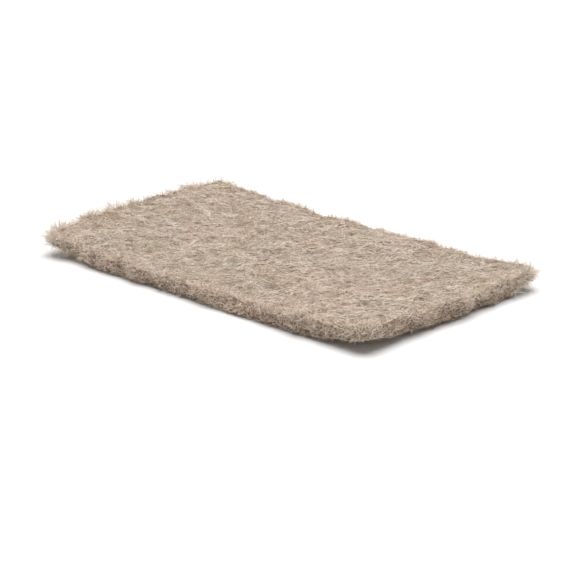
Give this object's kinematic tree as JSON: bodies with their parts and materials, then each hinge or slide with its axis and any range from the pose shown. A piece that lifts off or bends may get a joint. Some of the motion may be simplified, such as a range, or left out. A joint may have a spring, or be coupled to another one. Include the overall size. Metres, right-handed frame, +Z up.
{
  "type": "sisal scouring pad",
  "caption": "Flat rectangular scouring pad of needle-felted sisal fibre with soft, slightly curled edges, held in the hand to scrub pans and surfaces.",
  "frame": {"origin": "on the table, below the middle of the pad's outline", "axes": "+Z up through the pad's thickness, +X along its length, +Y along its width"},
  "size_m": [0.1508, 0.0912, 0.01],
  "materials": {
    "sisal_felt": "matte undyed plant-fibre felt, beige with paler curly fibres, dark gaps between them and fuzzy cut edges"
  },
  "bodies": {
    "root": {"scouring_pad": "sisal_felt"}
  },
  "joints": []
}
